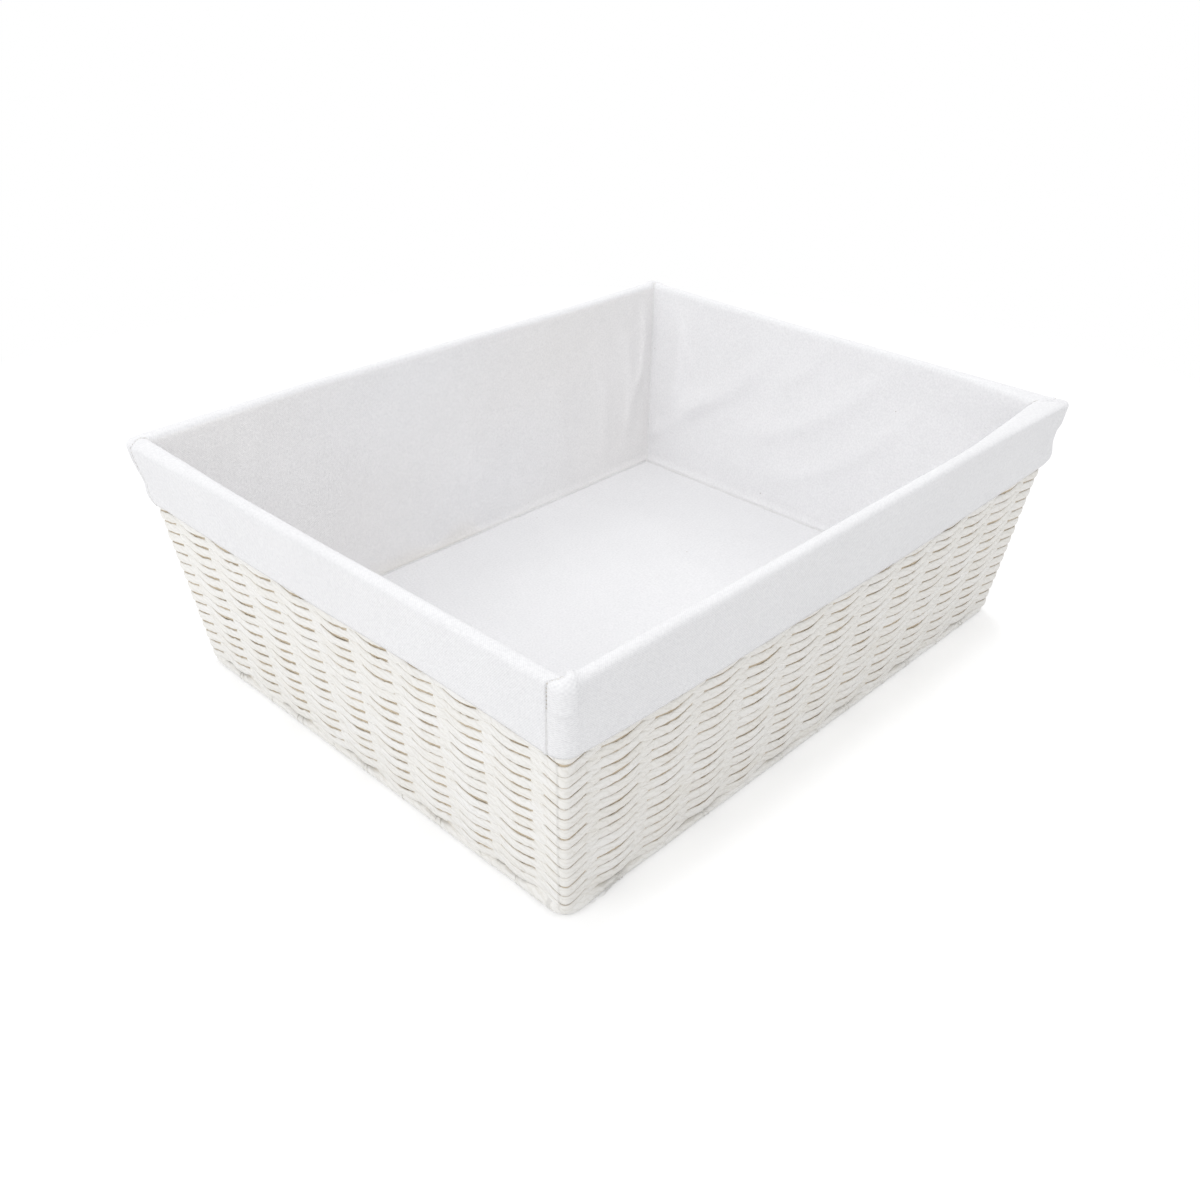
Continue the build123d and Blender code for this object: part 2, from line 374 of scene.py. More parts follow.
def rope_material():
    """Whitened paper rope: creases and fibres along the twist, and a tan painted as shade in the
    slits, on the rope's inner faces and on the front."""
    inputs = {"Roughness": 0.6, "Specular IOR Level": 0.35}
    material, tree, shader = node_material("paper_rope", inputs)
    strand = add_node(tree, "Attribute", attribute_name="strand")
    along, around, number = add_node(tree, "SeparateXYZ", {0: strand.outputs["Vector"]}).outputs
    recess = add_node(tree, "Attribute", attribute_name="recess").outputs["Fac"]
    place = add_node(tree, "TexCoord").outputs["Object"]
    # creases of the folded paper wind slowly round the rope
    turns = calc(tree, "MULTIPLY", around, CREASES_ROUND)
    turns = calc(tree, "MULTIPLY_ADD", along, CREASE_TURNS, turns)
    turns = calc(tree, "MULTIPLY_ADD", noise(tree, place, 160.0, 2.0), CREASE_WANDER, turns)
    wave = calc(tree, "SINE", calc(tree, "MULTIPLY", turns, TAU))
    crease = calc(tree, "MULTIPLY_ADD", wave, 0.5, 0.5)
    # fibres lie along the creases
    stretched = add_node(tree, "CombineXYZ", {
        0: calc(tree, "MULTIPLY", along, FIBRES_ALONG),
        1: calc(tree, "MULTIPLY", turns, 5.0),
        2: number,
    }).outputs[0]
    fibre = noise(tree, stretched, 1.0, 4.0)
    set_bump(tree, shader, calc(tree, "MULTIPLY_ADD", crease, 0.5, fibre), 0.5, 0.3 * MM)
    lengths = {0: calc(tree, "MULTIPLY", along, TONES_ALONG), 1: number}
    lengths = add_node(tree, "CombineXYZ", lengths).outputs[0]
    tone = ramp(
        tree, noise(tree, lengths, 1.0, 2.0),
        (0.3, (0.897, 0.877, 0.832)), (0.5, (0.922, 0.908, 0.876)), (0.7, (0.945, 0.936, 0.917)),
    )
    # painted shade: the tan in the slits, on the ropes' inner faces and most on the front side
    tan = ramp(tree, fibre, (0.3, (0.50, 0.39, 0.25)), (0.7, (0.70, 0.60, 0.45)))
    patchy = ramp(tree, fibre, (0.2, WHITE), (0.8, (0.8, 0.8, 0.8)))
    colour = blend_colours(tree, calc(tree, "MULTIPLY", recess, patchy), tone, tan)
    shade = ramp(tree, crease, (0.0, (0.93, 0.925, 0.91)), (0.35, WHITE))
    tree.links.new(shade_colour(tree, colour, shade), shader.inputs["Base Color"])
    return material


def cloth_material(name, low_tone, high_tone, mark, stretch):
    """White cotton in plain weave, with slubs, stains, painted shade where a wall meets the floor, and
    the odd speck of seed husk. Mark names the attribute that lies along the threads, and stretch makes
    metres of it."""
    inputs = {"Roughness": 0.9, "Specular IOR Level": 0.2, "Sheen Weight": 0.12}
    material, tree, shader = node_material(name, inputs)
    place = add_node(tree, "TexCoord").outputs["Object"]
    marked = add_node(tree, "Attribute", attribute_name=mark).outputs["Vector"]
    threads = add_node(tree, "SeparateXYZ", {0: marked}).outputs
    waves = []
    for axis in range(2):
        turns = calc(tree, "MULTIPLY", threads[axis], stretch[axis] * TAU / THREAD_PERIOD)
        waves.append(calc(tree, "SINE", turns))
    weave = calc(tree, "MULTIPLY_ADD", calc(tree, "MULTIPLY", waves[0], waves[1]), 0.5, 0.5)
    slub = noise(tree, place, 700.0)
    set_bump(tree, shader, calc(tree, "MULTIPLY_ADD", weave, 0.5, slub), 0.7, 0.35 * MM)
    grain = calc(tree, "MULTIPLY_ADD", weave, 0.45, slub)
    grain = ramp(tree, grain, (0.4, (0.87, 0.87, 0.875)), (1.0, WHITE))
    tone = ramp(tree, noise(tree, place, 20.0, 4.0), (0.3, low_tone), (0.7, high_tone))
    tone = shade_colour(tree, tone, grain)
    # the mark's third part is how stained the cloth is, with painted shade where a wall meets the
    # floor; on a seam it is the strand's number, so the stitches are darker than the cord
    stain_and_shade = ramp(
        tree, calc(tree, "MULTIPLY", threads[2], 0.25),
        (0.0, WHITE), (0.25, (1.0, 0.988, 0.968)), (1.0, (0.80, 0.765, 0.70)),
    )
    tone = shade_colour(tree, tone, stain_and_shade)
    # seed husks: the middles of a few cells
    husk = add_node(tree, "TexVoronoi", {"Vector": place, "Scale": 70.0}).outputs["Distance"]
    husk = ramp(tree, husk, (0.02, (0.5, 0.45, 0.4)), (0.035, WHITE))
    chosen = calc(tree, "GREATER_THAN", noise(tree, place, 31.0, 0.0), 0.62)
    tone = blend_colours(tree, chosen, tone, shade_colour(tree, tone, husk))
    tree.links.new(tone, shader.inputs["Base Color"])
    return material


def wire_material():
    """Painted wire, a little uneven."""
    material, tree, shader = node_material("steel_wire", {"Roughness": 0.45})
    place = add_node(tree, "TexCoord").outputs["Object"]
    coat = noise(tree, place, 240.0)
    tone = ramp(tree, coat, (0.3, (0.60, 0.56, 0.48)), (0.7, (0.74, 0.71, 0.64)))
    tree.links.new(tone, shader.inputs["Base Color"])
    set_bump(tree, shader, coat, 0.2, 0.2 * MM)
    return material


ROPE = rope_material()
CLOTH = cloth_material("cotton_cloth", (0.94, 0.937, 0.945), (0.965, 0.962, 0.97), "cloth", (1, 1))
SEAM = cloth_material("cotton_seam", (0.93, 0.925, 0.915), (0.95, 0.945, 0.935), "strand", (1, 5 * MM))
WIRE = wire_material()

# ---- woven walls
ROW_STEP = 1.6 * MM         # between the samples of a turn
ROPE_THICK = 0.95 * MM      # half thickness, pressed flat over a stake
ROPE_SWING = STAKE_RADIUS + 0.85 * MM
ROPE_BEND = 1.2 * MM        # the rope pulls tighter round the corner posts than the cloth
OVER_TALL = 3.47 * MM       # half height where the rope passes outside a stake
UNDER_TALL = 3.05 * MM      # and inside one
CROSS_TALL = 2.1 * MM       # and where two turns cross
CROSS_THICK = 1.3 * MM
SAG = 1.2 * MM              # how far every turn dips at the stakes
LEAN = 0.3 * MM             # how far it rises as it goes in, and falls as it comes out
STRAY = 0.2 * MM            # how far chance moves it up or down at a stake
POST_STRAY = 0.05 * MM      # and at a corner post
# Slits open where two turns lie outside the same stake. Their usual height on each
# side, what chance makes of it, and where they open, in shares of the stakes' spacing
SLITS = np.array((1.2, 1.3, 1.3, 1.5)) * MM
SLIT_SHARES = (0.3, 1.35)
SLIT_MOST = 1.7 * MM
POST_SLIT = 0.4
OPENINGS = np.array(((-0.20, 0.10), (-0.12, 0.24), (0.0, 0.34), (0.0, 0.38)))
THIN_SLIT = 0.4 * MM        # the line between two turns beside a slit
POST_THIN_SLIT = 0.42 * MM
WAVER_OUT, WAVER_UP = 0.12 * MM, 0.16 * MM  # how far a turn wavers along its course
ROPE_CURVE, SHADE_CORE_CURVE = 1.25, 2.2  # powers of the cosine that rope and core swing by
SIDE_SHADE_TAN = np.array((0.06, 0.02, 0.02, 0.0))  # painted shade: how much tan the rope shows, by side, most on the front, which the key light barely reaches
SHADE_CORE_THICK = 0.3 * MM       # tan core seen in the slits, painted as their shade
SHADE_CORE_TALL = 1.45 * MM
SHADE_CORE_SWING = STAKE_RADIUS + 0.35 * MM
WALL_SEED = 100


def up_direction(normal):
    """Direction up the wall's slope, square to the outward one."""
    lean_x, lean_y = (np.array(half_sizes(0.1)) - np.array(half_sizes(0.0))) / 0.1
    up = np.stack([normal[:, 0] * lean_x, normal[:, 1] * lean_y, np.ones(len(normal))], -1)
    return up / np.linalg.norm(up, axis=1, keepdims=True)


def rope_bend(level):
    """The rope's bend at the corners, wider under the cuff."""
    return ROPE_BEND + (WALL_BEND - ROPE_BEND) * ease(CUFF_LOW - 6 * MM, CUFF_LOW + 2 * MM, level)


def row_path(level, first_side):
    """One turn's course: distance, around value, nearest stake, share of the spacing past
    it, and side (1 outside the stake, -1 inside)."""
    parts, stakes = course(level, rope_bend(level))
    distance = course_samples(parts, ROW_STEP)
    number = to_stake(distance, parts, stakes)
    nearest = np.round(number).astype(int)
    past = number - nearest
    nearest = nearest % STAKE_COUNT
    side = first_side * (1 - 2 * (nearest % 2))
    return distance, to_around(distance, parts), nearest, past, side


def dip(past, side, nearest):
    """How far a turn stands above its level: low at the stakes, leaning between them."""
    soft, sharp = 0.5 - np.cos(np.pi * past) ** 2, np.abs(2 * past) - 0.5
    sag = SAG * np.where(np.isin(nearest, POST_NUMBERS), sharp, soft)
    return sag + LEAN * side * np.sin(np.pi * past)


def slit_heights(rng, seed, distance, nearest, past, on_side):
    """Height of the slits beside a turn: ragged where it opens, thin beside that, and shut
    where turns cross."""
    share = rng.uniform(*SLIT_SHARES, STAKE_COUNT)
    share[POST_NUMBERS] = POST_SLIT
    opens, shuts = OPENINGS[on_side].T
    wide = ease(opens - 0.07, opens + 0.07, past) * ease(shuts + 0.05, shuts - 0.05, past)
    ragged = np.maximum(1 + 0.7 * soft_noise(seed + 6, distance * 620), 0.1)
    slit = np.minimum(SLITS[on_side] * share[nearest] * ragged, SLIT_MOST)
    thin = np.where(np.isin(nearest, POST_NUMBERS), POST_THIN_SLIT, THIN_SLIT)
    thin = thin * ease(-0.42, -0.3, past) * ease(0.46, 0.36, past)
    return slit * wide + thin * (1 - wide)


def add_wall_row(strands, level, first_side, seed):
    """One turn of rope, out and in of the stakes."""
    rng = np.random.default_rng(seed)
    distance, around, nearest, past, side = row_path(level, first_side)
    on_side = (around // 2).astype(int) % 4
    slit = slit_heights(rng, seed, distance, nearest, past, on_side)
    crossing = ease(0.32, 0.5, np.abs(past))
    flat = np.where(side > 0, OVER_TALL - slit / 2, UNDER_TALL)
    tall = flat * (1 - crossing) + CROSS_TALL * crossing
    thick = ROPE_THICK * (1 - crossing) + CROSS_THICK * crossing
    thick = thick * (1 + 0.1 * soft_noise(seed + 1, distance * 70))
    offset = side * ROPE_SWING * np.cos(np.pi * past) ** ROPE_CURVE
    offset = offset + WAVER_OUT * soft_noise(seed + 2, distance * 45)
    rise = WAVER_UP * soft_noise(seed + 3, distance * 40) + dip(past, side, nearest)
    chance = rng.normal(size=STAKE_COUNT).clip(-2, 2)[nearest] * (1 - crossing)
    rise = rise + np.where(np.isin(nearest, POST_NUMBERS), POST_STRAY, STRAY) * chance
    middle, normal = wall_place(around, level + rise, offset, rope_bend(level))
    # painted shade: tan where the turn lies deep behind the stakes, and tan by side
    tan = 0.5 * ease(-0.5 * MM, -1.5 * MM, offset) + SIDE_SHADE_TAN[on_side]
    strands.add(middle, normal, up_direction(normal), thick, tall, seed, True, tan)


def add_shade_core(strands, level, first_side, seed):
    """Tan core between two turns that lie outside the same stakes, painted as the shade in their slit.
    """
    distance, around, nearest, past, side = row_path(level, first_side)
    offset = side * SHADE_CORE_SWING * np.cos(np.pi * past) ** SHADE_CORE_CURVE
    offset = offset + 0.1 * MM * soft_noise(seed + 4, distance * 90)
    middle, normal = wall_place(around, level + dip(past, side, nearest), offset, rope_bend(level))
    up = up_direction(normal)
    # painted shade: the core is tan all round
    strands.add(middle, normal, up, SHADE_CORE_THICK, SHADE_CORE_TALL, seed + 5, True, 1.0, sides=6)


def weave_walls():
    """Two turns of rope in place of each of the wall's CAD nodes, with a tan core over each, painted
    as the slits' shade.
    """
    bottom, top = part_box(ROPE_NODES[0])[0].z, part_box(ROPE_NODES[-1])[1].z
    count = 2 * len(ROPE_NODES)
    pitch = (top - bottom) / count
    for index, node in enumerate(ROPE_NODES):
        strands = Strands()
        for turn in (2 * index, 2 * index + 1):
            level, first_side = bottom + (turn + 0.5) * pitch, 1 - 2 * (turn % 2)
            seed = WALL_SEED + 10 * turn
            add_wall_row(strands, level, first_side, seed)
            if turn + 1 < count:
                add_shade_core(strands, level + pitch, first_side, seed)
        dress(strands.make(node.replace("wall", "woven"), ROPE), "basket", "paper_rope", node)


weave_walls()

# ---- foot border
BORDER_LEVEL = 2.65 * MM
BORDER_TALL = 2.2 * MM      # half its height
BORDER_SWELL = 1.5 * MM     # how much thicker it is where its ends meet
LOOP_RADIUS = 0.36 * MM
LOOP_SAMPLES = 18
BORDER_THICK = foot_high.y - half_sizes(BORDER_LEVEL)[1] - LOOP_RADIUS
FRAY_COUNT = 26
FRAY_RADIUS = 0.13 * MM


def add_loop(strands, around, slant, number):
    """Thin strand wound once round the border. Slant leans it along the course."""
    angle = np.linspace(0, TAU, LOOP_SAMPLES, endpoint=False)
    reach = squared(np.cos(angle), 0.8) * (BORDER_THICK + 0.1 * MM)
    rise = squared(np.sin(angle), 0.8) * (BORDER_LEVEL - LOOP_RADIUS)
    around = around + slant * np.cos(angle + 0.5)
    middle, _ = wall_place(around, BORDER_LEVEL + rise, reach, FOOT_BEND)
    strands.thread(middle, LOOP_RADIUS, number, True)


def make_foot_border(rng):
    """The border round the foot, thickest at the front left corner, with loops by turns
    one and two to a stake."""
    parts, stakes = course(BORDER_LEVEL, FOOT_BEND)
    distance = course_samples(parts, 3.0 * MM, 10)
    middle, normal = wall_place(to_around(distance, parts), BORDER_LEVEL, 0.0, FOOT_BEND)
    to_ends = np.minimum(distance, parts.sum() - distance)
    swell = BORDER_SWELL * ease(30 * MM, 12 * MM, to_ends)
    middle[:, 2] += swell
    thick = BORDER_THICK * (1 + 0.07 * soft_noise(11, distance * 55)) + 0.8 * swell
    tall = BORDER_TALL * (1 + 0.05 * soft_noise(12, distance * 70))
    tall = np.minimum(tall, BORDER_LEVEL) + swell
    border = Strands(sides=14)
    border.add(middle, normal, UP, thick, tall, 5.0, True)
    for number, stake in enumerate(stakes):
        pair = number % 2 == 1
        for beside in (-1.4 * MM, 1.4 * MM) if pair else (1.0 * MM,):
            around = to_around(stake + beside + rng.normal() * 0.5 * MM, parts)
            slant = rng.uniform(0.002, 0.009) * (1 if pair else 2.2)
            add_loop(border, around, slant, number)
    dress(border.make("foot_border", ROPE), "basket", "paper_rope", "foot_wrap")


def make_frays(rng):
    """Loose paper fibres where the border's end was trimmed, beside the front left corner."""
    parts, _ = course(BORDER_LEVEL, FOOT_BEND)
    steps = np.linspace(0, 1, 9)
    frays = Strands(sides=5, squareness=1.0)
    for number in range(FRAY_COUNT):
        around = to_around(parts[0] + rng.uniform(7, 34) * MM, parts)
        length = rng.uniform(3, 9) * MM
        lean = rng.uniform(-1, 1) * length / parts[1]
        curl = rng.uniform(0.3, 1.0) * 1.3 * MM
        level = rng.uniform(0.6, 4.2) * MM + rng.uniform(-0.6, 1.1) * length * steps * 0.5
        curl = curl * np.sin(steps * np.pi * rng.uniform(0.6, 1.1))
        level = np.maximum(level, 0.2 * MM)
        reach = BORDER_THICK - 0.2 * MM + curl
        middle, _ = wall_place(around + lean * steps, level, reach, FOOT_BEND)
        frays.thread(middle, FRAY_RADIUS * (1.1 - 0.7 * steps), number)
    dress(frays.make("foot_frays", ROPE), "basket", "paper_rope")


foot_rng = np.random.default_rng(77)
make_foot_border(foot_rng)
make_frays(foot_rng)

# ---- wrapped rim, under the cloth
RIM_LEVEL = (rim_low.z + rim_high.z) / 2
WRAP_THICK = 0.45 * MM
WRAP_PITCH = 4.9 * MM
WRAP_SAMPLES = 14           # in one turn
RING_SAMPLES = 200


def wrap_rim():
    """Flat rope wound round the rim, over a plain ring that closes what its turns leave
    open in the tight bends."""
    parts, _ = course(RIM_LEVEL)
    steps = np.arange(round(parts.sum() / WRAP_PITCH) * WRAP_SAMPLES)
    angle = steps * TAU / WRAP_SAMPLES
    reach = rim_high.y - half_sizes(RIM_LEVEL)[1] - WRAP_THICK - 0.25 * MM
    rise = (rim_high.z - rim_low.z) / 2 - WRAP_THICK
    around = to_around(steps * parts.sum() / len(steps), parts)
    level = RIM_LEVEL + rise * np.sin(angle)
    middle, normal = wall_place(around, level, reach * np.cos(angle))
    outward = normal * np.cos(angle)[:, None] + UP * np.sin(angle)[:, None]
    to_bend = np.abs(around - np.round((around - 0.5) / 2) * 2 - 0.5)
    width = WRAP_PITCH * (0.54 + 0.22 * ease(0.56, 0.5, to_bend))
    rim = Strands(sides=8)
    rim.add(middle, outward, np.cross(UP, normal), WRAP_THICK, width, 3.0, True)
    around = np.linspace(0, 8, RING_SAMPLES, endpoint=False)
    middle, normal = wall_place(around, RIM_LEVEL, 0.0)
    rim.add(middle, normal, UP, reach - 0.1 * MM, rise - 0.1 * MM, 2.0, True)
    dress(rim.make("rim_wrapping", ROPE), "basket", "paper_rope", "rim_wrap")


wrap_rim()

# ---- woven base
BASE_LEVEL = (across_low.z + across_high.z) / 2
BASE_STAKES = np.linspace(
    across_low.x + STAKE_RADIUS, across_high.x - STAKE_RADIUS, STAKES_PER_SIDE[0]
)
BASE_ROWS = 11              # in each CAD node
BASE_SAMPLES = 190
BASE_TALL = 3.35 * MM       # half a row's width over a stake
BASE_PINCH = 0.75 * MM      # and how much less it is between two
BASE_PIECES = [node.replace("rope", "weave") for node in BASE_NODES]


def weave_base(index, node):
    """Rows of rope in place of one CAD node, over and under the stakes across the base."""
    low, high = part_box(node)
    swing = (high.z - low.z) / 2 - ROPE_THICK
    ends = (low.x + 0.3 * MM, high.x - 0.3 * MM)
    x = np.linspace(*ends, BASE_SAMPLES)
    places = np.concatenate([[ends[0]], BASE_STAKES, [ends[1]]])
    number = np.interp(x, places, np.arange(-1, len(BASE_STAKES) + 1))
    pinch = BASE_PINCH * np.abs(np.sin(np.pi * number)) ** 2
    strands = Strands()
    for turn in range(BASE_ROWS):
        row = index * BASE_ROWS + turn
        y = low.y + (high.y - low.y) * (turn + 0.5) / BASE_ROWS
        y = y + 0.1 * MM * soft_noise(row, x * 50)
        z = BASE_LEVEL + swing * np.cos(np.pi * number) * (1 - 2 * (row % 2))
        middle = np.stack([x, y, z], -1)
        tall = (BASE_TALL - pinch) * (1 + 0.03 * soft_noise(row + 50, x * 60))
        # painted shade: a little tan all round the base's rope
        strands.add(middle, -UP, [0.0, 1.0, 0.0], ROPE_THICK, tall, row, False, 0.2)
    dress(strands.make(BASE_PIECES[index], ROPE), "basket", "paper_rope", node)


for index, node in enumerate(BASE_NODES):
    weave_base(index, node)

# ---- liner
CLOTH_THICK = 0.7 * MM
CLOTH_OUT = 4.25 * MM       # wall's middle to the cuff's outer face
CLOTH_IN = 3.95 * MM        # wall's middle to the liner's inner face
CROWN_TALL = 3.3 * MM
CROWN_SQUARENESS = 0.85
CORNER_ARC = WALL_BEND * np.pi / 2
LEAST_BEND = 0.15 * MM      # of the cloth itself, where it reaches far in at a corner
SEAM_SHIFT = (-5 * MM, 5 * MM, -5 * MM, 5 * MM)  # outer seams stand on the short sides
ROWS_IN, ROWS_CROWN, ROWS_OUT = 60, 17, 22
COLUMN_STEP = 2.5 * MM
SEAM_STRIP, SEAM_STEP = 20, 0.8  # columns stand closer beside a seam, in millimetres
# The next four are in millimetres, in the order of SIDES, at equal steps along each side
# from its first corner: the cloth's height above the rim's usual top
CROWN_RISE = (
    (3.1, 2.4, 2.5, 2.6, 0.8), (0.8, -0.3, -0.2, 0.2, 1.6),
    (1.6, 1.0, 1.6, 2.0, -0.2), (-0.2, -0.6, -0.2, 1.4, 3.1),
)
# how far the crown reaches further in, and the cuff's top further out
CROWN_IN = ((0, 0, 0, 0, 10), (10, 0, 0, 0, 1), (1, 0, 0, 0, 1), (1, -0.3, -0.3, 0, 0))
CUFF_OUT = ((0, 0), (0, 0), (0, 0, 0, 0, 3.5), (3.5, 0, 0, 0, 0))
# and the hem's height above its usual place
HEM_RISE = (
    (1.0, -2.8, -4.4, -4.0, -1.5), (-1.5, -0.5, 0.5, 0.0, -0.5),
    (-0.5, 0.6, -0.4, 0.5, 0.0), (0.0, -0.4, 0.6, 2.4, 1.0),
)


def liner_section():
    """The liner's section from the floor up, over the rim and down: height, offset and
    direction away from the wall at each row, with how far each is over the crown and
    down the cuff, both from 0 to 1."""
    turn_level = LINED_TOP - CROWN_TALL
    turn = np.linspace(0, np.pi, ROWS_CROWN + 2)[1:-1]
    middle, half = (CLOTH_OUT - CLOTH_IN) / 2, (CLOTH_OUT + CLOTH_IN) / 2
    inside = np.linspace(floor_high.z, turn_level, ROWS_IN)
    outside = np.linspace(turn_level, CUFF_LOW, ROWS_OUT)
    over_height = turn_level + CROWN_TALL * squared(np.sin(turn), CROWN_SQUARENESS)
    over = middle - half * squared(np.cos(turn), CROWN_SQUARENESS)
    height = np.concatenate([inside, over_height, outside])
    offset = np.concatenate([np.full(ROWS_IN, -CLOTH_IN), over, np.full(ROWS_OUT, CLOTH_OUT)])
    angle = np.concatenate([np.zeros(ROWS_IN), turn, np.full(ROWS_OUT, np.pi)])
    cuff = np.concatenate([np.zeros(ROWS_IN + ROWS_CROWN), np.linspace(0, 1, ROWS_OUT)])
    return height, offset, -np.cos(angle), np.sin(angle), angle / np.pi, cuff


def from_corner(corner, distance, level):
    """Around value at a distance past the middle of a corner's bend, or before it."""
    half_x, half_y = half_sizes(level)
    after, before = (half_x, half_y) if corner % 2 == 0 else (half_y, half_x)
    past = np.abs(distance) - CORNER_ARC / 2
    ahead = 0.5 + past / (2 * (after - WALL_BEND))
    behind = -0.5 - past / (2 * (before - WALL_BEND))
    straight = np.where(distance > 0, ahead, behind)
    return 2 * corner + 0.5 + np.where(past < 0, distance / CORNER_ARC, straight)


def fold(along, level, start, end, width, height):
    """Soft ridge from start to end, both (along, level) in millimetres."""
    start, end = np.array(start) * MM, np.array(end) * MM
    length = np.linalg.norm(end - start)
    way = (end - start) / length
    run = (along - start[0]) * way[0] + (level - start[1]) * way[1]
    beside = (along - start[0]) * -way[1] + (level - start[1]) * way[0]
    beside = beside + 0.08 * length * np.sin(run / length * np.pi)
    ends = ease(-0.15, 0.25, run / length) * ease(1.15, 0.75, run / length)
    return height * MM * bump_at(beside, 0, width * MM) * ends


# Folds of each inner wall: from and to (along from the side's first corner, height),
# half width and height, in millimetres
FOLDS = {
    "front": [((60, 30), (80, 120), 9, 2.0), ((300, 40), (285, 110), 10, 1.8)],
    "right": [
        ((120, 140), (230, 60), 9, 2.6), ((90, 120), (190, 35), 8, 2.2),
        ((215, 135), (300, 62), 9, 3.0), ((318, 140), (306, 60), 8, 3.2),
        ((175, 148), (205, 110), 8, 2.0), ((40, 130), (75, 60), 9, 2.0),
        ((262, 100), (330, 30), 8, 2.2),
    ],
    "back": [
        ((14, 142), (22, 70), 5, 2.6), ((38, 132), (30, 40), 7, 2.4),
        ((70, 120), (58, 30), 8, 2.0), ((120, 110), (104, 30), 10, 1.6),
        ((210, 120), (190, 40), 10, 1.2), ((380, 140), (400, 60), 8, 1.6),
    ],
    "left": [((50, 30), (70, 120), 9, 2.0), ((250, 40), (240, 110), 10, 1.8)],
}
YELLOWED = (0.0, 0.1, 1.0, 0.1)  # how much each inner wall has yellowed
WALL_FOOT_SHADE = (0.0, 0.2, 1.7, 0.0)  # how much shade is painted where it meets the floor
WALL_FOOT_SHADE_PLACE = 240 * MM       # from the side's first corner
# At each corner, in millimetres: how far the cuff puffs out above its hem, and how far
# the tuck beside the outer seam stands up
HEM_PUFF = (0.0, 2.4, 0.0, 1.9)
TUCK = (3.5, 1.2, 1.2, 0.0)
PUFF_WIDTH = 14 * MM
SLACK = 0.3 * MM            # how far the cloth stands off the wall's inside
TOE = 2.4 * MM              # how far it turns in where it meets the floor
PUCKER, PUCKER_PLACE = 0.25 * MM, 5 * MM  # height, and distance from the seam
HEM_STEP, HEM_CURL = 0.22 * MM, 0.4 * MM  # at the turned hem's top, and its lower edge
RIDGE, GROOVE = 0.55 * MM, 0.9 * MM  # beside an outer seam, and in it
FLOOR_COLUMNS, FLOOR_ROWS = 150, 116


def along_side(values, share):
    """Smooth line through values at equal steps, from millimetres."""
    steps = np.linspace(0, 1, len(values))
    fine = np.linspace(0, 1, 201)
    line = np.interp(fine, steps, values)
    kernel = np.hanning(31) / np.hanning(31).sum()
    line = np.convolve(np.pad(line, 15, mode="reflect", reflect_type="odd"), kernel, mode="valid")
    return np.interp(share, fine, line) * MM


def panel_columns(longest):
    """Places of a panel's columns, as shares of its length, closer beside the seams."""
    beside = np.arange(0, SEAM_STRIP, SEAM_STEP) * MM / longest
    plain = np.linspace(beside[-1], 1 - beside[-1], round(longest / COLUMN_STEP))[1:-1]
    return np.concatenate([beside, plain, 1 - beside[::-1]])[:, None]


def inner_relief(side, distance, level, to_bend, to_seam):
    """How far the cloth stands off the wall's inside: slack, folds, the turn onto the
    floor, and puckers beside the seams."""
    stand = SLACK + SLACK * soft_noise(300 + side, distance * 18, level * 30)
    for start, stop, width, rise in FOLDS[SIDES[side]]:
        stand = stand + fold(distance, level, start, stop, width, rise)
    low_edge = ease(0, 12 * MM, level - floor_high.z)
    toe = TOE * ease(5 * MM, 0, level - floor_high.z)
    stand = stand * ease(0, 9 * MM, to_bend) * low_edge + toe
    puckers = PUCKER * soft_noise(310 + side, distance * 160, level * 8)
    return np.maximum(stand + puckers * bump_at(to_seam, PUCKER_PLACE, 6 * MM) * low_edge, 0)


def outer_relief(side, distance, level, crown, cuff, to_seam):
    """How far it stands off the crown and the cuff: slack, the turned hem, and the ridge
    beside each outer seam with the groove in it."""
    top = 0.15 * MM * (1 + soft_noise(320 + side, distance * 25, crown * 2))
    hang = 0.3 + 0.35 * soft_noise(330 + side, distance * 22, level * 12)
    hang = np.maximum((0.25 + 0.55 * cuff) * hang * MM, 0.0)
    hem = HEM_STEP * ease(0.80, 0.84, cuff) - HEM_CURL * ease(0.97, 1.0, cuff)
    groove = GROOVE * ease(0.45, 0.25, cuff) * bump_at(to_seam, 0, 0.6 * MM)
    ridge = RIDGE * bump_at(to_seam, 1.3 * MM, 1.0 * MM) - groove
    return top * ease(0, 0.3, crown) + hang * ease(0, 0.2, cuff) + hem + ridge * ease(0.3, 0.7, crown)


def tuck_relief(corner, beside, crown, cuff):
    """Lump of folded cloth beside a long side's end, on the crown and the cuff's top."""
    lump = ease(0.8 * MM, 5.0 * MM, beside) * ease(8.8 * MM, 6.8 * MM, beside)
    return TUCK[corner] * MM * lump * ease(0.25, 0.45, crown) * ease(0.38, 0.29, cuff)


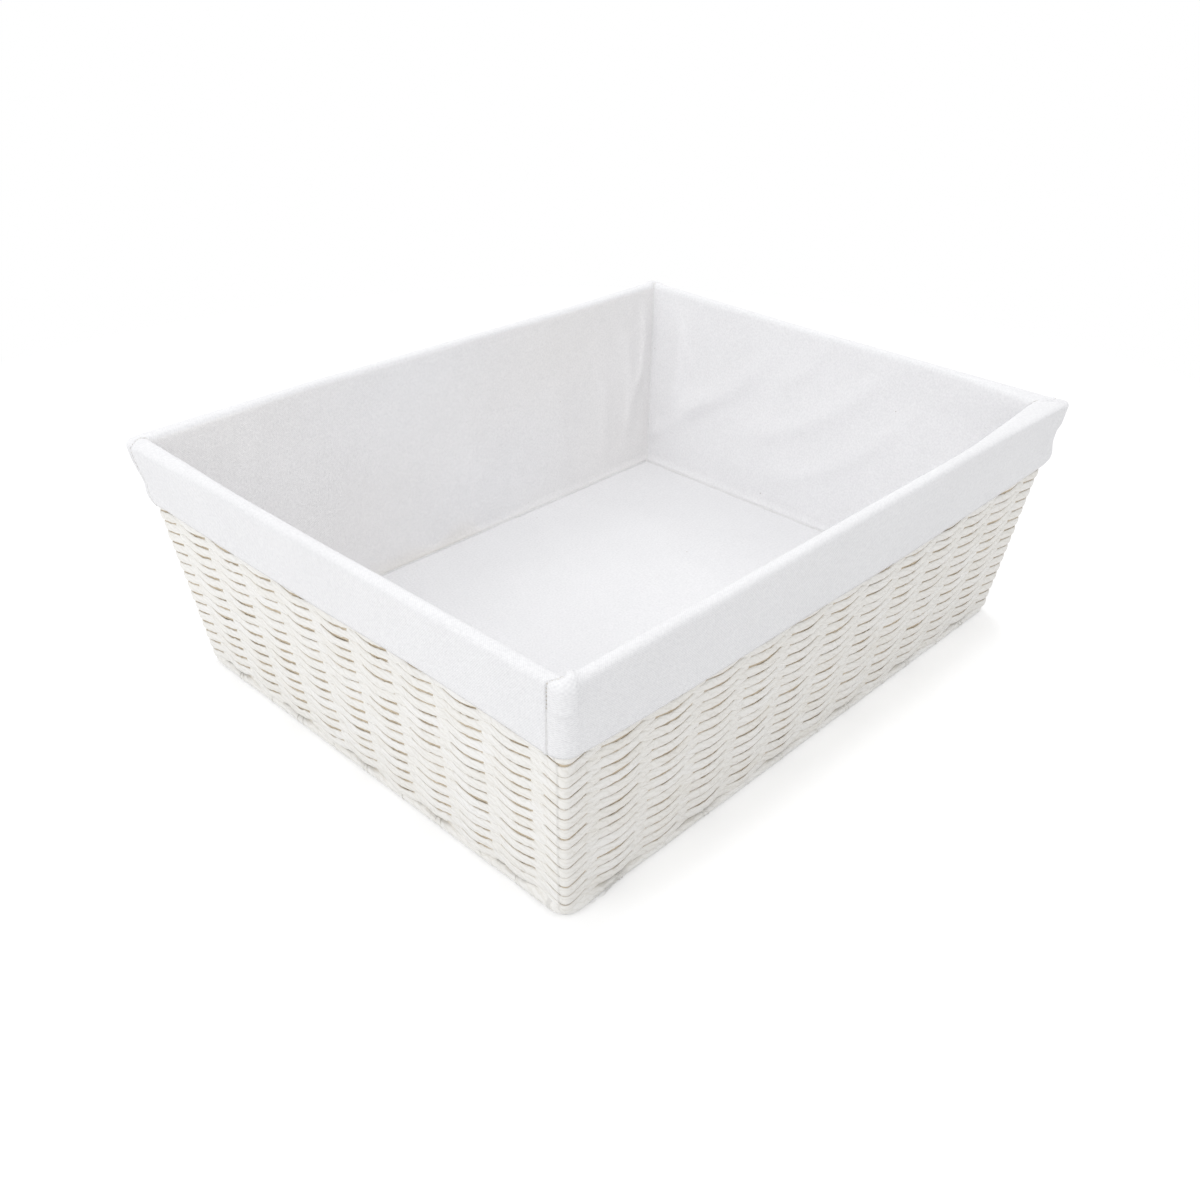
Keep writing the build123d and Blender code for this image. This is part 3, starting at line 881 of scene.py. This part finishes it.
def side_shape(side, distance, total, crown, cuff):
    """How far the panel rises above its section and reaches out past it, along its side."""
    share = np.clip(distance / total, 0, 1)
    crown_rise, crown_in, cuff_out, hem_rise = (
        along_side(values[side], share)
        for values in (CROWN_RISE, CROWN_IN, CUFF_OUT, HEM_RISE)
    )
    climb = np.concatenate([np.linspace(0, 1, ROWS_IN), np.ones(ROWS_CROWN + ROWS_OUT)])
    hem_rise = hem_rise + 0.5 * MM * soft_noise(340 + side, distance * 16)
    lift = crown_rise * ease(0.75, 1.0, climb) * (1 - cuff) + hem_rise * cuff
    wide = crown_in * ease(0.7, 1.0, climb) * ease(0.9, 0.2, crown)
    puff = HEM_PUFF[side] * bump_at(distance, 0, PUFF_WIDTH)
    puff = (puff + HEM_PUFF[(side + 1) % 4] * bump_at(distance, total, PUFF_WIDTH)) * MM
    flare = cuff_out * ease(0.4, 1.0, crown) * ease(0.9, 0.1, cuff)
    flare = flare + puff * bump_at(cuff, 0.81, 0.15) * ease(1.0, 0.93, cuff)
    return lift, flare - wide


def cloth_stain_and_shade(side, distance, down, crown):
    """How stained the cloth is: the walls' insides yellowed in patches, with painted shade along the
    floor."""
    yellow = 0.6 + 0.25 * soft_noise(350 + side, distance * 14, down * 20)
    yellow = YELLOWED[side] * yellow * (1 - ease(0.0, 0.2, crown))
    high = np.maximum(6 + 5 * soft_noise(360 + side, distance * 45, down * 30), 2) * MM
    # painted shade: darker and yellower along the wall's foot
    return yellow + WALL_FOOT_SHADE[side] * bump_at(distance, WALL_FOOT_SHADE_PLACE, 75 * MM) * bump_at(down, 0, high)


def dress_cloth(obj, across, down, stain_and_shade, *nodes):
    """Marks each point with its place on the flat cloth, in metres, and how stained it is with the
    painted shade along the floor, then thickens the cloth inwards and puts it on the liner."""
    mark_points(obj, "cloth", np.stack(np.broadcast_arrays(across, down, stain_and_shade), -1))
    solid = obj.modifiers.new("cloth", "SOLIDIFY")
    solid.thickness = CLOTH_THICK
    solid.offset = -1
    dress(obj, "liner", "cotton_cloth", *nodes)


def liner_panel(side):
    """One sewn panel: a wall's inside, its turn over the rim, and its cuff. Returns its
    points, in columns."""
    name, end = SIDES[side], (side + 1) % 4
    height, offset, out, up, crown, cuff = liner_section()
    total = 2 * (half_sizes(height)[side % 2] - WALL_BEND) + CORNER_ARC
    slide = ease(0.15, 0.85, crown)
    start_shift, end_shift = SEAM_SHIFT[side] * slide, SEAM_SHIFT[end] * slide
    distance = start_shift + (total + end_shift - start_shift) * panel_columns(total.max())
    level = np.broadcast_to(height, distance.shape)
    around = np.where(
        distance < total / 2,
        from_corner(side, distance, level), from_corner(side + 1, distance - total, level),
    )
    from_start, from_end = distance - start_shift, total + end_shift - distance
    to_seam = np.minimum(from_start, from_end)
    to_bend = np.minimum(np.abs(distance), np.abs(total - distance))
    away = inner_relief(side, distance, level, to_bend, to_seam) * (1 - ease(0.0, 0.15, crown))
    away = away + outer_relief(side, distance, level, crown, cuff, to_seam)
    if side % 2 == 0:
        away = away + tuck_relief(side, from_start, crown, cuff)
        away = away + tuck_relief(end, from_end, crown, cuff)
    lift, shift = side_shape(side, distance, total, crown, cuff)
    reach = offset + out * away + shift
    bend = np.maximum(WALL_BEND, LEAST_BEND - reach)
    points, _ = wall_place(around, level + up * away + lift, reach, bend)
    obj = new_object(f"liner_panel_{name}", points.reshape(-1, 3), grid_faces(*distance.shape), CLOTH)
    down = run_along(np.stack([height, offset], -1))
    stain_and_shade = cloth_stain_and_shade(side, distance, down, crown)
    dress_cloth(obj, distance, down, stain_and_shade, f"liner_wall_{name}", f"liner_cuff_{name}")
    return points


def liner_floor():
    """The floor panel, laid on the woven base, a little puckered at its seams."""
    half_x, half_y = (half - CLOTH_IN + 0.3 * MM for half in half_sizes(floor_high.z))
    x = np.linspace(-half_x, half_x, FLOOR_COLUMNS)[:, None]
    y = np.linspace(-half_y, half_y, FLOOR_ROWS)[None, :]
    to_edge = np.minimum(half_x - np.abs(x), half_y - np.abs(y))
    rise = 0.25 * (1 + soft_noise(401, x * 14, y * 14)) * ease(0, 15 * MM, to_edge)
    rise = rise + 0.3 * soft_noise(402, x * 120, y * 120) * bump_at(to_edge, PUCKER_PLACE, 6 * MM)
    z = floor_high.z + np.maximum(rise, 0) * MM
    points = np.stack(np.broadcast_arrays(x, y, z), -1)
    faces = grid_faces(*z.shape)[:, ::-1]
    obj = new_object("liner_floor_panel", points.reshape(-1, 3), faces, CLOTH)
    dress_cloth(obj, x, y, 0.0, "liner_floor")


panels = [liner_panel(side) for side in range(4)]
liner_floor()

# ---- seams of the liner
CORD_INSIDE, CORD_OUTSIDE = 0.75 * MM, 0.4 * MM  # radius of a corner seam's cord
STITCHED_ROWS = 8           # rows of the cuff that the stitches run down
STITCH_STEP = 2.3 * MM
STITCH_HALF = 1.3 * MM
STITCH_RADIUS = 0.2 * MM


def add_stitches(strands, path, across):
    """Slanting stitches across a seam, arched over its cord."""
    run, ahead = run_along(path), np.gradient(path, axis=0)
    share = np.linspace(-1, 1, 7)[:, None]
    for number, place in enumerate(np.arange(STITCH_STEP / 2, run[-1], STITCH_STEP)):
        middle, way, beside = (
            np.array([np.interp(place, run, values[:, axis]) for axis in range(3)])
            for values in (path, ahead, across)
        )
        way, beside = way / np.linalg.norm(way), beside / np.linalg.norm(beside)
        rise = 0.55 * MM * np.cos(share * 1.3) + 0.05 * MM
        points = middle + beside * share * STITCH_HALF + way * share * 0.4 * MM
        strands.thread(points + np.cross(way, beside) * rise, STITCH_RADIUS, number)


def corner_seam(corner):
    """Corded seam up an inner corner, over the rim and down the cuff, stitched across from
    the crown to the cuff's upper third."""
    after, before = panels[corner], panels[corner - 1]
    path = (after[0] + before[-1]) / 2
    crown = liner_section()[4]
    seam = Strands(sides=8, squareness=1.0)
    seam.thread(path, CORD_INSIDE * (1 - crown) + CORD_OUTSIDE * crown)
    sewn = slice(ROWS_IN, ROWS_IN + ROWS_CROWN + STITCHED_ROWS)
    add_stitches(seam, path[sewn], (after[2] - before[-3])[sewn])
    name = CORNERS[corner]
    dress(seam.make(f"liner_seam_{name}", SEAM), "liner", "cotton_seam", f"corner_seam_{name}")


def rounded_ring(inner, bend):
    """Points round a rectangle with rounded corners. Inner holds half the distances
    between the bends' middles."""
    ring = []
    for corner in range(4):
        angle = np.pi + (corner + np.linspace(0, 1, 7)) * np.pi / 2
        arc = CORNER_SIGNS[corner] * inner + bend * np.stack([np.cos(angle), np.sin(angle)], -1)
        normal = np.array([np.cos(angle[-1]), np.sin(angle[-1])])
        stop = CORNER_SIGNS[(corner + 1) % 4] * inner + bend * normal
        ring += [arc, arc[-1] + (stop - arc[-1]) * np.linspace(0, 1, 120)[1:-1, None]]
    return np.concatenate(ring)


def floor_seam():
    """Cord of the seam round the liner's floor."""
    cord_radius = (floor_seam_high.z - floor_seam_low.z) / 2
    bend = 3 * cord_radius
    inner = np.array([floor_seam_high.x, floor_seam_high.y]) - cord_radius - bend - 0.9 * MM
    ring = rounded_ring(inner, bend)
    x, y = ring.T
    level = floor_high.z + 0.3 * MM + 0.1 * MM * soft_noise(410, x * 60, y * 60)
    radius = 0.8 * cord_radius * (1 + 0.08 * soft_noise(411, x * 90, y * 90))
    seam = Strands(sides=8, squareness=1.0)
    seam.thread(np.concatenate([ring, level[:, None]], 1), radius, closed=True)
    dress(seam.make("liner_seam_floor", SEAM), "liner", "cotton_seam", "floor_seam")


for corner in range(4):
    corner_seam(corner)
floor_seam()

# ---- camera, light and floor
CAMERA_PLACE = Vector((-0.5070, -0.4575, 0.4377))
CAMERA_AZIMUTH = math.radians(-46.95)
CAMERA_ELEVATION = math.radians(31.13)
CAMERA_ROLL = math.radians(1.34)
CAMERA_LENS = 35.9
SKY_TONE, SKY_STRENGTH = (0.985, 0.99, 1.0, 1), 0.775
OPAQUE_WHITE = (*WHITE, 1)
FLOOR_GREY = (0.88, 0.88, 0.88, 1)
FLOOR_GLOW = 0.275          # lifts the floor near the basket to white between shadows
FLOOR_NEAR, FLOOR_FAR = 0.4, 0.8  # the floor fades to plain white between these distances
FLOOR_SIZE = 4.0
FLOOR_DROP = 0.2 * MM       # keeps it clear of the foot


def make_camera():
    """The photograph's camera."""
    data = bpy.data.cameras.new("camera")
    data.lens = CAMERA_LENS
    camera = link(bpy.data.objects.new("camera", data))
    back = Vector((
        math.sin(CAMERA_AZIMUTH) * math.cos(CAMERA_ELEVATION),
        -math.cos(CAMERA_AZIMUTH) * math.cos(CAMERA_ELEVATION),
        math.sin(CAMERA_ELEVATION),
    ))
    right = (-back).cross(Vector((0, 0, 1))).normalized()
    up = right.cross(-back)
    cos, sin = math.cos(CAMERA_ROLL), math.sin(CAMERA_ROLL)
    basis = Matrix((right * cos + up * sin, up * cos - right * sin, back)).transposed().to_4x4()
    camera.matrix_world = Matrix.Translation(CAMERA_PLACE) @ basis
    bpy.context.scene.camera = camera


def seen_directly(tree):
    """1 where the camera, a reflection or a refraction looks straight at it."""
    path = add_node(tree, "LightPath").outputs
    both = calc(tree, "MAXIMUM", path["Is Camera Ray"], path["Is Glossy Ray"])
    return calc(tree, "MAXIMUM", both, path["Is Transmission Ray"])


def blend_shaders(tree, factor, first, second):
    """Output of a mix of two shaders."""
    return add_node(tree, "MixShader", {0: factor, 1: first, 2: second}).outputs[0]


def make_world():
    """Soft light from all round that looks plain white."""
    world = bpy.data.worlds.new("studio")
    bpy.context.scene.world = world
    tree = empty_tree(world)
    soft = add_node(tree, "Background", {0: SKY_TONE, 1: SKY_STRENGTH}).outputs[0]
    white = add_node(tree, "Background", {0: OPAQUE_WHITE, 1: 1.0}).outputs[0]
    sky = blend_shaders(tree, seen_directly(tree), soft, white)
    add_node(tree, "OutputWorld", {0: sky})


def make_floor():
    """White floor that shows the basket's shadow and fades into the background."""
    material = bpy.data.materials.new("studio_floor")
    tree = empty_tree(material)
    plain = add_node(tree, "BsdfDiffuse", {0: FLOOR_GREY}).outputs[0]
    glow = add_node(tree, "Emission", {0: OPAQUE_WHITE, 1: FLOOR_GLOW}).outputs[0]
    near = add_node(tree, "AddShader", {0: plain, 1: glow}).outputs[0]
    white = add_node(tree, "Emission", {0: OPAQUE_WHITE, 1: 1.0}).outputs[0]
    place = add_node(tree, "TexCoord").outputs["Object"]
    away = add_node(tree, "VectorMath", {0: place}, operation="LENGTH").outputs["Value"]
    far = add_node(tree, "MapRange", {0: away, 1: FLOOR_NEAR, 2: FLOOR_FAR}).outputs[0]
    seen = blend_shaders(tree, far, near, white)
    add_node(tree, "OutputMaterial", {0: blend_shaders(tree, seen_directly(tree), plain, seen)})
    corners = [(x * FLOOR_SIZE, y * FLOOR_SIZE, 0) for x, y in CORNER_SIGNS]
    floor = new_object("studio_floor", corners, [[0, 1, 2, 3]], material)
    floor.location.z = -FLOOR_DROP


def area_light(name, place, target, size, power):
    """Round light at a place, turned to its target."""
    data = bpy.data.lights.new(name, "AREA")
    data.shape = "DISK"
    data.size = size
    data.energy = power
    light = link(bpy.data.objects.new(name, data))
    light.location = place
    light.rotation_mode = "QUATERNION"
    light.rotation_quaternion = (Vector(target) - Vector(place)).to_track_quat("-Z", "Y")


make_camera()
make_world()
make_floor()
area_light("key_light", (-2.0, 0.1, 1.2), (0, 0, 0.08), 1.6, 9.0)
area_light("top_light", (-0.12, -0.12, 2.2), (0, 0, 0.05), 0.3, 5.5)
area_light("back_light", (1.2, 1.1, 1.5), (0, 0, 0.05), 1.0, 8)
area_light("front_light", (-0.9, -1.6, 1.1), (0, 0, 0.08), 1.6, 0.9)
bpy.context.scene.view_settings.view_transform = "Standard"

# ---- the wires stay as CAD
REPLACED = ("rope", "wrap", "liner", "seam")  # words in the names of the nodes dressed above
for name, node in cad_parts.items():
    if not any(word in name for word in REPLACED):
        node.data.materials.clear()
        node.data.materials.append(WIRE)
